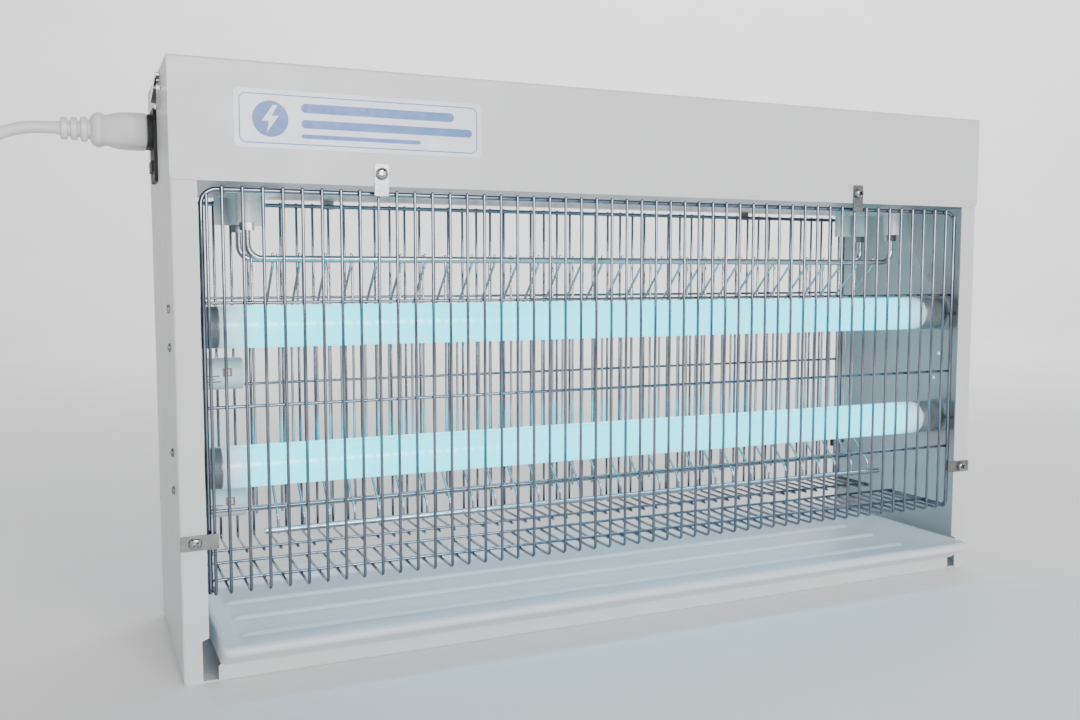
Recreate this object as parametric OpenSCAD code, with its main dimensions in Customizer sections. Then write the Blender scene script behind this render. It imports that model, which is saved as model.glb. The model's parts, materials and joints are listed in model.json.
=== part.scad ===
// Electric insect killer: two fluorescent lamps in front of a high-voltage wire grid, in a
// sheet-steel housing with welded wire guards and a catch tray that slides out to the front.
// X runs along the lamps, -Y is the front, +Z is up, and the origin is the middle of the base.

/* [Housing] */
// Overall width
width = 620; // [610:2:630]
// Overall height
height = 367; // [362:1:372]
// Depth from the front face to the rear face
depth = 146; // [144:1:150]
// Thickness of the sheet steel
sheet = 1; // [0.8:0.1:1.2]
// Outside radius of the folds
bend_r = 1.5; // [1.3:0.1:2.5]
// Height of the hood that holds the electrics
hood_h = 70; // [66:1:72]
// Width of the columns beside the front and rear openings
column_w = 15; // [14:0.5:16]
// Height of the base pan's front and rear aprons
apron_h = 12.5; // [11.5:0.5:13]
// Distance between the two hanging holes in the top
hanging_spacing = 400; // [300:10:420]
// Diameter of the hanging holes
hanging_d = 6; // [4:0.5:8]

/* [Guards] */
// Number of evenly spaced guard wires
guard_count = 49; // [41:2:51]
// Diameter of the guard wires
guard_wire_d = 2; // [1.5:0.1:2.2]
// Diameter of the guard's frame rod
guard_rod_d = 3; // [2.6:0.1:3.2]
// Height of the guard's floor wires
guard_floor_z = 51.7; // [48:0.5:56]

/* [Lamps] */
// Diameter of the lamps
lamp_d = 26; // [25:0.5:26]
// Height of the upper lamp's axis
upper_lamp_z = 211; // [205:1:215]
// Height of the lower lamp's axis
lower_lamp_z = 124.7; // [120:1:130]
// Distance of the lamps' axes in front of the middle
lamp_y = -48; // [-50:0.5:-46]
// Height of the upper starter's axis
upper_starter_z = 177.3; // [175:1:180]
// Height of the lower starter's axis
lower_starter_z = 91.3; // [89:1:95]

/* [Grid] */
// Diameter of the grid's carrying rods
grid_rod_d = 4; // [3.5:0.1:4.5]
// Diameter of the grid wires
grid_wire_d = 1.8; // [1.5:0.1:2]
// Spacing of the wires in each of the two rows
grid_pitch = 16.9; // [16:0.1:17]
// Number of wires in the rear row
grid_count = 31; // [25:2:31]

/* [Catch tray] */
// Width of the tray
tray_w = 580; // [576:2:582]
// Height of the tray's rim above the base
tray_rim_z = 27.5; // [26.5:0.5:28.5]
// How far the tray's nose reaches in front of the middle
tray_nose_y = 97; // [96:0.5:100]

/* [Mains lead] */
// Diameter of the mains cord
cord_d = 7.5; // [7:0.1:8]
// Radius of the outer turns of the coiled cord
coil_outer_r = 48.5; // [46:0.5:50]

/* [Hidden] */
$fn = 32;

// Housing
side_x = width / 2;                  // outer face of the side panels
face_y = depth / 2;                  // outer face of the hood and the aprons
flange_y = face_y - sheet;           // outer face of the columns
hood_z = height - hood_h;            // lower edge of the hood
panel_top = height - sheet;
column_x = side_x - column_w;        // inner edge of the columns
corner_r = 3;                        // rounded corners seen from the front
foot_z = 25.6;                       // below this the columns are narrower
foot_slope = 1.6;
foot_step = 4;
lip_x = tray_w / 2;                  // inner edge of the panels' bottom lips
wire_gap = 0.02;                     // between crossing wires
slide_gap = 0.05;                    // between the tray and what it slides on
panel_hole_d = 3;
panel_holes = [[-38, 176], [-33, 155]]; // [y, z] of small holes in the panels

// Screws
screw_d = 4;
screw_head_d = 7.5;
screw_head_h = 2.8;
hinge_hole_d = 4.1;
recess_d = 3.4;                      // recess in a screw's head
recess_w = 0.9;
recess_h = 1.2;
hood_screw_x = side_x - 8;
hood_screw_zs = [hood_z + 8, height - 12];
lamp_screw_d = 2.9;
lamp_screw_offset = 11.5;            // from the lamp's axis
lamp_screw_head_d = 5.5;
lamp_screw_head_h = 1.8;

// Guards
guard_top_z = hood_z - 4.4;          // middle of the top rod
guard_y = face_y - 6.5;              // middle of the frame rod, front and rear
guard_x = column_x - 2.3;            // middle of the side rods
guard_corner_r = 9;
guard_foot_r = 4.5;
wire_y = guard_y + (guard_rod_d + guard_wire_d) / 2 + wire_gap;
wire_foot_r = 3;
wire_top_z = guard_top_z + 1.4;
guard_pitch = 562 / (guard_count - 1);
outer_wire_x = guard_x - 2.9;
outer_wire_top_z = guard_top_z - 3.6;
cross_wire_zs = [226.2, 164.2, 102.2];
cross_wire_y = wire_y - guard_wire_d - wire_gap;
cross_wire_x = guard_x - guard_rod_d / 2 - slide_gap;
front_floor_end = 3;                 // the floor wires end this far from the middle
rear_floor_end = 25;
front_floor_bars = [44.5, 5];
rear_floor_bars = [27];

// Clips that hold the guards
clip_w = 9;
clip_t = 1;
clip_gap = 0.05;
clip_x = 186.5;
clip_z = hood_z + 7.5;
clip_low = 13.5;                     // reach below the screw
clip_high = 6;                       // reach above the screw
side_clip_z = 85.4;
side_clip_x = side_x - 8.5;
side_clip_in = 13.5;
side_clip_out = 8.5;

// Lamps and their holders
cap_x = side_x - 15;                 // outer face of the lamp's caps
cap_h = 12;
pin_d = 2.35;
pin_h = 7.1;
pin_offset = 6.35;
holder_d = 28;
holder_gap = 0.05;
rotor_d = 16;
rotor_bore_d = 16.1;
rotor_h = 9.8;
bore_h = 10;
pin_slot_w = 2.6;
entry_slot_w = 3;

// Starters
starter_y = 12;
starter_d = 21;
starter_h = 40;
starter_boss_d = 17;
starter_bore_d = 17.1;
starter_boss_h = 6;
starter_holder_d = 27;
starter_holder_h = 9;

// Grid
rod_z = 253;
rod_drop_x = 261;
rod_bend_r = 9;
stud_top_z = hood_z + 9;
front_rod_y = -29;
rear_rod_y = 8;
front_low_rod_z = 78;
rear_low_rod_z = 85.5;
front_low_rod_x = 254;
rear_low_rod_x = 257.5;
grid_y = rear_rod_y - (grid_rod_d + grid_wire_d) / 2 - wire_gap;
front_wire_y = front_rod_y + (grid_rod_d + grid_wire_d) / 2 + wire_gap;
grid_x0 = -grid_pitch * (grid_count - 1) / 2;
insulator_x = [242, 275];
insulator_y = [-38, 18];
insulator_bottom_z = hood_z - 21.5;
boss_d = 13;
nut_af = 8;
nut_h = 5;

// Catch tray
tray_bottom_z = apron_h + slide_gap;
tray_floor_z = tray_bottom_z + 2;
tray_rear_y = 70;
tray_wall = 2;
tray_rim = 5;                        // width of the rims at the ends
tray_draft = 11;                     // inward slope of the ends, from rim to floor
tray_lip = 7.5;                      // width of the rim at the front
nose_r = 3.4;
nose_slope = 18;                     // slope of the nose's underside
nose_back = [-86, 18.2];             // where the underside meets the front wall
front_foot = [-80, tray_bottom_z];
front_floor_y = -77;                 // front edge of the tray's floor
rib_ys = [-38.5, -4, 30.5];
rib_w = 6;
rib_h = 1.4;

// Left-hand hardware
inlet_y = 20;
socket_z = 334;
drawer_z = 312;
inlet_h = 26;                        // depth behind the panel
flange_t = 2;
blade = [4, 2];                      // width and thickness of the inlet's blades
blade_spots = [[-7, -2], [0, 2], [7, -2]];
switch_y = -22;
switch_z = 354;
switch_x = -side_x + 0.5;            // the rocker's pivot
rocker_r = 8;
rocker_tilt = 10;
trunnion_d = 2;
trunnion_bore_d = 2.1;

// Mains lead: it falls beside the housing, is coiled on the floor and ends in its plug
coil_x = -440 - coil_outer_r;
coil_y = 90;
coil_inner_r = coil_outer_r - cord_d;
coil_layers = 3;
fall_route = [
    [-367, 20, 334], [-377, 20, 334], [-387, 20, 333], [-398, 20, 329.5], [-409, 20, 323],
    [-419, 20, 314], [-427, 20, 302], [-433, 20, 287], [-437, 20, 268], [-439, 20, 245],
    [-440, 20, 215], [-440, 20, 180], [-440, 20, 145], [-440, 20, 110], [-440, 20, 80],
    [-440, 20, 60], [-440, 20.5, 42], [-440, 26, 24], [-440, 39, 10.5], [-440, 56, 4.8],
    [-440, 74, 3.9], [-440, 90, 3.8]
];
tail_route = [
    [-537, 90, 18.8], [-537, 70, 18.8], [-537, 50, 18.9], [-537, 30, 19], [-537, 15, 19],
    [-537, 0, 19]
];
plug_d = 38;
plug_pin_d = 4.8;
plug_pin_h = 19;
plug_pin_offset = 9.5;
plug_relief_h = 30;
plug_body_h = 34;

// Wires inside the hood and down to the lamps
grommet_xs = [-303, 300];
grommet_y = -5;
grommet_d = 9;
grommet_bore_d = 6;
lead_d = 3;
sleeve_d = 4.5;
leads = [
    [[-278, 13, 332], [-270, 13, 331], [-258, 8, 318], [-248, 2, 309], [-234, -2, 308], [-226, -2, 308]],
    [[-278, 27, 332], [-270, 27, 331], [-258, 20, 318], [-248, 11, 309], [-234, 6, 308], [-226, 6, 308]],
    [[-164, -2, 308], [-156, -2, 308], [-146, -10, 310], [-136, -21, 316], [-130, -22, 320],
     [-125.8, -22, 320]],
    [[-164, 6, 308], [-150, 10, 308], [-130, 36, 306], [-80, 42, 304], [-40, 36, 306],
     [-14, 12, 310], [2, 4, 312], [12, 4, 312]],
    [[-82.2, -22, 330], [-72, -24, 329], [-40, -40, 318], [60, -52, 306], [180, -52, 304],
     [240, -44, 303], [253, -35, 303], [259.2, -30.2, 303]],
    [[-125.8, -22, 334], [-135, -24, 332], [-165, -38, 318], [-205, -46, 308], [-240, -42, 304],
     [-253, -35, 303], [-259.2, -30.2, 303]]
];
lamp_leads = [
    [[234, -6, 312], [246, -6, 312], [268, -8, 313], [286, -7, 312], [297, -5, 308],
     [300, -5, 302], [300, -5, 295], [300, -5, 285], [300, -10, 270], [300, -24, 248],
     [300, -40, 236], [300, -46, 230], [300, -48, 225.2]],
    [[-226, -8.5, 306], [-238, -9, 306], [-264, -10, 308], [-288, -8, 309], [-300, -5, 307],
     [-303, -5, 302], [-303, -5, 295], [-303, -5, 285], [-303, -10, 270], [-303, -24, 248],
     [-303, -40, 236], [-303, -46, 230], [-303, -48, 225.2]]
];

// Electrics in the hood
shelf_top_z = hood_z + sheet;
transformer_x = -104;
core_w = 66;
core_d = 32;
core_h = 55;
core_limb = 11;
ballast_left_x = 60;
ballast_right_x = 186;

// ---------------------------------------------------------------- helpers

function unit(v) = v / norm(v);

// Points of an arc, both ends included
function arc(c, r, from, to, steps = 5) =
    [for (k = [0:steps]) let (a = from + (to - from) * k / steps) c + r * [cos(a), sin(a)]];

// Outline of a rectangle with round corners
function rounded(low, high, r) = concat(
    arc([low.x + r, low.y + r], r, 180, 270),
    arc([high.x - r, low.y + r], r, 270, 360),
    arc([high.x - r, high.y - r], r, 0, 90),
    arc([low.x + r, high.y - r], r, 90, 180)
);

// Catmull-Rom curve through all the points of a route
function curve_point(a, b, c, d, t) =
    0.5 * (2 * b + (c - a) * t + (2 * a - 5 * b + 4 * c - d) * t * t
        + (3 * b - a - 3 * c + d) * t * t * t);
function smooth(p, steps = 2) = concat(
    [for (i = [0:len(p) - 2]) for (k = [0:steps - 1])
        curve_point(p[max(i - 1, 0)], p[i], p[i + 1], p[min(i + 2, len(p) - 1)], k / steps)],
    [p[len(p) - 1]]
);

// Directions along a path, and normals carried along it without twist
function directions(p) =
    [for (i = [0:len(p) - 1]) unit(p[min(i + 1, len(p) - 1)] - p[max(i - 1, 0)])];
function normals(t, n, i = 0) =
    i == len(t) ? [] : let (m = unit(n - (n * t[i]) * t[i])) concat([m], normals(t, m, i + 1));

// A round tube swept along a path
module tube(path, d, sides = 10) {
    t = directions(path);
    n = normals(t, abs(t[0].z) < 0.9 ? [0, 0, 1] : [0, 1, 0]);
    rings = [for (i = [0:len(path) - 1]) for (k = [0:sides - 1])
        path[i] + d / 2 * (cos(360 * k / sides) * n[i] + sin(360 * k / sides) * cross(t[i], n[i]))];
    last = (len(path) - 1) * sides;
    walls = [for (i = [0:len(path) - 2]) for (k = [0:sides - 1]) let (q = (k + 1) % sides)
        [(i + 1) * sides + k, (i + 1) * sides + q, i * sides + q, i * sides + k]];
    start = [for (k = [0:sides - 1]) k];
    end = [for (k = [sides - 1:-1:0]) last + k];
    polyhedron(points = rings, faces = concat([start, end], walls));
}

module both_sides() {
    children();
    mirror([1, 0, 0]) children();
}

module front_and_rear() {
    children();
    mirror([0, 1, 0]) children();
}

// Extrusions of an outline in the YZ plane along X, and in the XZ plane along Y
module along_x(from, to) {
    translate([from, 0, 0]) rotate([90, 0, 90]) linear_extrude(to - from) children();
}
module along_y(from, to) {
    translate([0, to, 0]) rotate([90, 0, 0]) linear_extrude(to - from) children();
}

module x_rod(from, to, y, z, d) {
    translate([from, y, z]) rotate([0, 90, 0]) cylinder(d = d, h = to - from);
}
module y_rod(from, to, x, z, d) {
    translate([x, from, z]) rotate([-90, 0, 0]) cylinder(d = d, h = to - from);
}
module z_rod(from, to, x, y, d) {
    translate([x, y, from]) cylinder(d = d, h = to - from);
}

module block(low, high) {
    translate(low) cube(high - low);
}

// A rod bent in the XY plane: straight lengths between the path's corners, and round bends
function turn(p, i) =
    let (a = p[i] - p[i - 1], b = p[i + 1] - p[i])
    atan2(a.x * b.y - a.y * b.x, a.x * b.x + a.y * b.y);
function setback(p, i, r) = i == 0 || i == len(p) - 1 ? 0 : r * tan(abs(turn(p, i)) / 2);
module bent_rod(p, d, r) {
    for (i = [0:len(p) - 2]) {
        u = unit(p[i + 1] - p[i]);
        from = p[i] + u * setback(p, i, r);
        to = p[i + 1] - u * setback(p, i + 1, r);
        translate([from.x, from.y, 0]) rotate([0, 90, atan2(u.y, u.x)]) cylinder(d = d, h = norm(to - from));
    }
    for (i = [1:len(p) - 2]) {
        u = unit(p[i] - p[i - 1]);
        side = sign(turn(p, i));
        centre = p[i] - u * setback(p, i, r) + side * r * [-u.y, u.x];
        heading = atan2(u.y, u.x) - 90 * side;
        translate([centre.x, centre.y, 0])
            rotate([0, 0, side > 0 ? heading : heading + turn(p, i)])
                rotate_extrude(angle = abs(turn(p, i))) translate([r, 0]) circle(d = d);
    }
}
// A bent rod with its path given as [y, z] at one x, or as [x, z] at one y
module bent_rod_yz(p, d, r, x) {
    translate([x, 0, 0]) rotate([90, 0, 90]) bent_rod(p, d, r);
}
module bent_rod_xz(p, d, r, y) {
    translate([0, y, 0]) rotate([90, 0, 0]) bent_rod(p, d, r);
}

// A pan-head screw that points along -Y, its head's seat at y = 0, its shank running to +Y
module pan_screw(shank_h) {
    difference() {
        union() {
            y_rod(0, shank_h, 0, 0, screw_d);
            y_rod(-screw_head_h, 0, 0, 0, screw_head_d);
        }
        for (turned = [0, 90])
            rotate([0, turned, 0])
                block([-recess_d / 2, -screw_head_h - 1, -recess_w / 2],
                      [recess_d / 2, -screw_head_h + recess_h, recess_w / 2]);
    }
}

// Cutter for a rounded lower corner at the right-hand edge, seen from the front
module corner_cutter(bottom) {
    along_y(-depth, depth)
        polygon(concat(
            [[side_x + 1, bottom - 1], [side_x - corner_r, bottom - 1]],
            arc([side_x - corner_r, bottom + corner_r], corner_r, -90, 0),
            [[side_x + 1, bottom + corner_r]]
        ));
}

// ---------------------------------------------------------------- housing

module channel_section() {
    turn_x = side_x - bend_r;
    turn_y = flange_y - bend_r;
    polygon(concat(
        [[column_x, -flange_y]],
        arc([turn_x, -turn_y], bend_r, -90, 0),
        arc([turn_x, turn_y], bend_r, 0, 90),
        [[column_x, flange_y], [column_x, flange_y - sheet]],
        arc([turn_x, turn_y], bend_r - sheet, 90, 0),
        arc([turn_x, -turn_y], bend_r - sheet, 0, -90),
        [[column_x, -flange_y + sheet]]
    ));
}

// Right-hand panel: a channel with a bottom lip, narrower feet and its screw holes
module side_panel() {
    difference() {
        union() {
            linear_extrude(panel_top) channel_section();
            block([lip_x, -flange_y + sheet / 2, 0], [side_x - sheet / 2, flange_y - sheet / 2, sheet]);
        }
        front_and_rear()
            along_y(flange_y - sheet, flange_y + 1)
                polygon([[column_x - 1, -1], [column_x + foot_step, -1], [column_x + foot_step, foot_z],
                         [column_x, foot_z + foot_slope], [column_x - 1, foot_z + foot_slope]]);
        corner_cutter(0);
        for (z = [upper_lamp_z, lower_lamp_z]) for (end = [-1, 1])
            x_rod(side_x - 2 * sheet, side_x + 1, lamp_y, z + end * lamp_screw_offset, lamp_screw_d);
        for (spot = panel_holes)
            x_rod(side_x - 2 * sheet, side_x + 1, spot.x, spot.y, panel_hole_d);
        y_rod(-face_y, face_y, side_clip_x, side_clip_z, screw_d);
        for (z = hood_screw_zs)
            y_rod(0, face_y, hood_screw_x, z, screw_d);
    }
}

module side_panel_right() {
    color("gainsboro") side_panel();
}

module side_panel_left() {
    color("gainsboro") difference() {
        mirror([1, 0, 0]) side_panel();
        block([-side_x - 1, inlet_y - 14, drawer_z - 8], [-side_x + 2 * sheet, inlet_y + 14, socket_z + 12]);
        x_rod(-side_x - 1, -side_x + 2 * sheet, switch_y, switch_z, 20);
    }
}

module base_pan() {
    turn_y = face_y - bend_r;
    chamfer = 3;
    color("whitesmoke") difference() {
        along_x(-lip_x, lip_x)
            polygon(concat(
                [[-face_y, apron_h]],
                arc([-turn_y, bend_r], bend_r, 180, 270),
                arc([turn_y, bend_r], bend_r, 270, 360),
                [[face_y, apron_h], [flange_y, apron_h]],
                arc([turn_y, bend_r], bend_r - sheet, 360, 270),
                arc([-turn_y, bend_r], bend_r - sheet, 270, 180),
                [[-flange_y, apron_h]]
            ));
        both_sides()
            along_y(-depth, depth)
                polygon([[lip_x - chamfer, apron_h + 1], [lip_x - chamfer, apron_h],
                         [lip_x, apron_h - chamfer], [lip_x + 1, apron_h - chamfer], [lip_x + 1, apron_h + 1]]);
    }
}

module hood_cover() {
    turn_y = face_y - bend_r;
    turn_z = height - bend_r;
    color("gainsboro") difference() {
        along_x(-side_x, side_x)
            polygon(concat(
                [[-face_y, hood_z]],
                arc([-turn_y, turn_z], bend_r, 180, 90),
                arc([turn_y, turn_z], bend_r, 90, 0),
                [[face_y, hood_z], [flange_y, hood_z]],
                arc([turn_y, turn_z], bend_r - sheet, 0, 90),
                arc([-turn_y, turn_z], bend_r - sheet, 90, 180),
                [[-flange_y, hood_z]]
            ));
        both_sides() {
            corner_cutter(hood_z);
            z_rod(height - 2 * sheet, height + 1, hanging_spacing / 2, 0, hanging_d);
            y_rod(-depth, depth, clip_x, clip_z, screw_d);
            for (z = hood_screw_zs)
                y_rod(0, depth, hood_screw_x, z, screw_d);
        }
    }
}

module hood_shelf() {
    flange_x = column_x - 1;
    flange_h = 12;
    stud_hole_d = 10;
    color("silver") difference() {
        union() {
            block([-side_x + sheet, -flange_y + sheet, hood_z], [side_x - sheet, flange_y - sheet, hood_z + sheet]);
            front_and_rear()
                block([-flange_x, flange_y - sheet, hood_z], [flange_x, flange_y, hood_z + flange_h]);
        }
        both_sides() {
            y_rod(-depth, depth, clip_x, clip_z, screw_d);
            for (y = [front_rod_y, rear_rod_y])
                z_rod(hood_z - 1, hood_z + 2, rod_drop_x, y, stud_hole_d);
        }
        for (x = grommet_xs)
            z_rod(hood_z - 1, hood_z + 2, x, grommet_y, grommet_d);
    }
}

// Cable grommets in the shelf
module grommets() {
    lip_d = grommet_d + 2;
    lip_h = 1.2;
    color("dimgray")
        for (x = grommet_xs)
            difference() {
                union() {
                    z_rod(hood_z - lip_h, hood_z + sheet + lip_h, x, grommet_y, grommet_d);
                    z_rod(hood_z - lip_h, hood_z, x, grommet_y, lip_d);
                    z_rod(hood_z + sheet, hood_z + sheet + lip_h, x, grommet_y, lip_d);
                }
                z_rod(hood_z - 2, hood_z + 4, x, grommet_y, grommet_bore_d);
            }
}

module hood_screws() {
    color("silver")
        both_sides()
            for (z = hood_screw_zs)
                translate([hood_screw_x, face_y, z]) mirror([0, 1, 0]) pan_screw(2 * sheet);
}

module label_plate() {
    thickness = 0.4;
    color("aliceblue")
        along_y(-face_y - thickness, -face_y)
            polygon(rounded([-274, height - 50], [-120.5, height - 16], 3));
}

// ---------------------------------------------------------------- guards

guard_wire_xs = [for (k = [0:guard_count - 1]) (k - (guard_count - 1) / 2) * guard_pitch];

// Bent frame rod at the front; its feet turn back under the chamber
module guard_frame(floor_end) {
    foot_z = guard_floor_z + 0.5;
    bend_start = foot_z + guard_foot_r;
    bent_rod_xz([[-guard_x, bend_start], [-guard_x, guard_top_z], [guard_x, guard_top_z],
                 [guard_x, bend_start]], guard_rod_d, guard_corner_r, -guard_y);
    for (x = [-guard_x, guard_x])
        bent_rod_yz([[-guard_y, bend_start], [-guard_y, foot_z], [-floor_end, foot_z]],
                    guard_rod_d, guard_foot_r, x);
}

// Upright wires and the cross wires behind them
module guard_wires() {
    bottom = guard_floor_z + wire_foot_r;
    for (x = guard_wire_xs)
        z_rod(bottom, wire_top_z, x, -wire_y, guard_wire_d);
    for (x = [-outer_wire_x, outer_wire_x])
        z_rod(bottom, outer_wire_top_z, x, -wire_y, guard_wire_d);
    for (z = cross_wire_zs)
        x_rod(-cross_wire_x, cross_wire_x, -cross_wire_y, z, guard_wire_d);
}

// Lower ends of the same wires, bent back to form the floor, and the bars across them
module guard_floor(floor_end, bars) {
    corner_y = wire_y - wire_foot_r;
    for (x = concat([-outer_wire_x], guard_wire_xs, [outer_wire_x])) {
        y_rod(-corner_y, -floor_end, x, guard_floor_z, guard_wire_d);
        translate([x, -corner_y, guard_floor_z + wire_foot_r]) rotate([90, 0, 90]) rotate([0, 0, 180])
            rotate_extrude(angle = 90) translate([wire_foot_r, 0]) circle(d = guard_wire_d);
    }
    for (y = bars)
        x_rod(-cross_wire_x, cross_wire_x, -y, guard_floor_z + guard_wire_d + wire_gap, guard_wire_d);
}

module front_guard_frame() {
    color("lightsteelblue") guard_frame(front_floor_end);
}
module front_guard_wires() {
    color("silver") guard_wires();
}
module front_guard_floor() {
    color("silver") guard_floor(front_floor_end, front_floor_bars);
}
module rear_guard_frame() {
    color("lightsteelblue") mirror([0, 1, 0]) guard_frame(rear_floor_end);
}
module rear_guard_wires() {
    color("silver") mirror([0, 1, 0]) guard_wires();
}
module rear_guard_floor() {
    color("silver") mirror([0, 1, 0]) guard_floor(rear_floor_end, rear_floor_bars);
}

// A flat steel clip that turns on its screw; low and high are [x, z] corners, front face
module guard_clip(low, high, screw, back_y) {
    color("lightgray")
        difference() {
            along_y(back_y - clip_gap - clip_t, back_y - clip_gap) polygon(rounded(low, high, 1));
            y_rod(back_y - 5, back_y + 5, screw.x, screw.y, hinge_hole_d);
        }
}
module top_clip() {
    guard_clip([clip_x - clip_w / 2, clip_z - clip_low], [clip_x + clip_w / 2, clip_z + clip_high],
               [clip_x, clip_z], -face_y);
}
module side_clip() {
    guard_clip([side_clip_x - side_clip_in, side_clip_z - clip_w / 2],
               [side_clip_x + side_clip_out, side_clip_z + clip_w / 2],
               [side_clip_x, side_clip_z], -flange_y);
}
module guard_clip_front_top_left() {
    mirror([1, 0, 0]) top_clip();
}
module guard_clip_front_top_right() {
    top_clip();
}
module guard_clip_front_left() {
    mirror([1, 0, 0]) side_clip();
}
module guard_clip_front_right() {
    side_clip();
}
module guard_clip_rear_top_left() {
    mirror([0, 1, 0]) mirror([1, 0, 0]) top_clip();
}
module guard_clip_rear_top_right() {
    mirror([0, 1, 0]) top_clip();
}
module guard_clip_rear_left() {
    mirror([0, 1, 0]) mirror([1, 0, 0]) side_clip();
}
module guard_clip_rear_right() {
    mirror([0, 1, 0]) side_clip();
}

module clip_screws() {
    lift = clip_t + 2 * clip_gap;
    color("silver")
        front_and_rear() both_sides() {
            translate([clip_x, -face_y - lift, clip_z]) pan_screw(lift + 2 * sheet);
            translate([side_clip_x, -flange_y - lift, side_clip_z]) pan_screw(lift + sheet);
        }
}

// ---------------------------------------------------------------- grid

module grid_insulators() {
    top_z = hood_z - 4;
    color("lightgray")
        both_sides()
            difference() {
                union() {
                    block([insulator_x[0], insulator_y[0], top_z], [insulator_x[1], insulator_y[1], hood_z]);
                    block([insulator_x[0], insulator_y[1] - 3, insulator_bottom_z],
                          [insulator_x[1], insulator_y[1], hood_z]);
                    for (y = [front_rod_y, rear_rod_y])
                        z_rod(insulator_bottom_z, top_z + 1, rod_drop_x, y, boss_d);
                }
                for (y = [front_rod_y, rear_rod_y])
                    z_rod(insulator_bottom_z - 1, hood_z + 1, rod_drop_x, y, grid_rod_d);
            }
}

module grid_nuts() {
    across_corners = nut_af / cos(30);
    color("silver")
        both_sides()
            for (y = [front_rod_y, rear_rod_y])
                difference() {
                    translate([rod_drop_x, y, insulator_bottom_z - nut_h])
                        cylinder(d = across_corners, h = nut_h, $fn = 6);
                    z_rod(insulator_bottom_z - nut_h - 1, insulator_bottom_z + 1, rod_drop_x, y, grid_rod_d);
                }
}

module upper_grid_rods() {
    color("lightsteelblue")
        for (y = [front_rod_y, rear_rod_y])
            bent_rod_xz([[-rod_drop_x, stud_top_z], [-rod_drop_x, rod_z], [rod_drop_x, rod_z],
                         [rod_drop_x, stud_top_z]], grid_rod_d, rod_bend_r, y);
}

module lower_grid_rods() {
    color("lightsteelblue") {
        x_rod(-front_low_rod_x, front_low_rod_x, front_rod_y, front_low_rod_z, grid_rod_d);
        x_rod(-rear_low_rod_x, rear_low_rod_x, rear_rod_y, rear_low_rod_z, grid_rod_d);
    }
}

// Rear row: straight wires
module rear_grid_wires() {
    color("silver")
        for (k = [0:grid_count - 1])
            z_rod(83, 256, grid_x0 + k * grid_pitch, grid_y, grid_wire_d);
}

// Front row: wires that hang from the front rod and lean back between the rear ones
module front_grid_wires() {
    path = [[front_wire_y, 75.5], [front_wire_y, 86], [grid_y, 117], [grid_y, 219],
            [front_wire_y, 250], [front_wire_y, 256]];
    color("silver")
        for (k = [0:grid_count - 2])
            tube([for (p = path) [grid_x0 + (k + 0.5) * grid_pitch, p.x, p.y]], grid_wire_d, 8);
}

// ---------------------------------------------------------------- lamps

module lamp_glass(z) {
    color("paleturquoise") x_rod(-cap_x + cap_h, cap_x - cap_h, lamp_y, z, lamp_d);
}

module lamp_caps(z) {
    color("silver")
        both_sides() {
            x_rod(cap_x - cap_h, cap_x, lamp_y, z, lamp_d);
            for (end = [-1, 1])
                x_rod(cap_x - 1, cap_x + pin_h, lamp_y, z + end * pin_offset, pin_d);
        }
}

// Turning cores of the lampholders, with the slot that takes the lamp's pins
module lamp_rotors(z) {
    start = cap_x + 2 * holder_gap;
    color("whitesmoke")
        both_sides()
            difference() {
                x_rod(start, start + rotor_h, lamp_y, z, rotor_d);
                block([start - 1, lamp_y - pin_slot_w / 2, z - rotor_d],
                      [start + pin_h + 0.5, lamp_y + pin_slot_w / 2, z + rotor_d]);
            }
}

module lampholder(z) {
    start = cap_x + holder_gap;
    end = side_x - sheet;
    difference() {
        x_rod(start, end, lamp_y, z, holder_d);
        x_rod(start - 1, start + bore_h, lamp_y, z, rotor_bore_d);
        block([start - 1, lamp_y - holder_d, z - entry_slot_w / 2],
              [start + pin_h + 1, lamp_y, z + entry_slot_w / 2]);
        for (side = [-1, 1])
            x_rod(end - 6, end + 1, lamp_y, z + side * lamp_screw_offset, lamp_screw_d);
    }
}

module tube_upper_glass() {
    lamp_glass(upper_lamp_z);
}
module tube_upper_caps() {
    lamp_caps(upper_lamp_z);
}
module tube_upper_rotors() {
    lamp_rotors(upper_lamp_z);
}
module tube_lower_glass() {
    lamp_glass(lower_lamp_z);
}
module tube_lower_caps() {
    lamp_caps(lower_lamp_z);
}
module tube_lower_rotors() {
    lamp_rotors(lower_lamp_z);
}

module lampholders_right() {
    color("white")
        for (z = [upper_lamp_z, lower_lamp_z])
            lampholder(z);
}
module lampholders_left() {
    mirror([1, 0, 0]) lampholders_right();
}

module lampholder_screws() {
    color("silver")
        both_sides()
            for (z = [upper_lamp_z, lower_lamp_z]) for (side = [-1, 1])
                difference() {
                    union() {
                        x_rod(side_x - 6, side_x + 1, lamp_y, z + side * lamp_screw_offset, lamp_screw_d);
                        x_rod(side_x, side_x + lamp_screw_head_h, lamp_y, z + side * lamp_screw_offset,
                              lamp_screw_head_d);
                    }
                    translate([side_x + lamp_screw_head_h, lamp_y, z + side * lamp_screw_offset])
                        for (turned = [0, 90])
                            rotate([turned, 0, 0])
                                block([-0.8, -recess_d / 2, -recess_w / 2], [1, recess_d / 2, recess_w / 2]);
                }
}

module starter(z) {
    start = -side_x + sheet + starter_holder_h + holder_gap;
    color("white") {
        x_rod(start, start + starter_h, starter_y, z, starter_d);
        x_rod(start - starter_boss_h, start + 1, starter_y, z, starter_boss_d);
    }
}
module starter_upper() {
    starter(upper_starter_z);
}
module starter_lower() {
    starter(lower_starter_z);
}

module starter_holders() {
    start = -side_x + sheet;
    color("white")
        for (z = [upper_starter_z, lower_starter_z])
            difference() {
                x_rod(start, start + starter_holder_h, starter_y, z, starter_holder_d);
                x_rod(start + starter_holder_h - starter_boss_h - 0.5, start + starter_holder_h + 1,
                      starter_y, z, starter_bore_d);
            }
}

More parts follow.
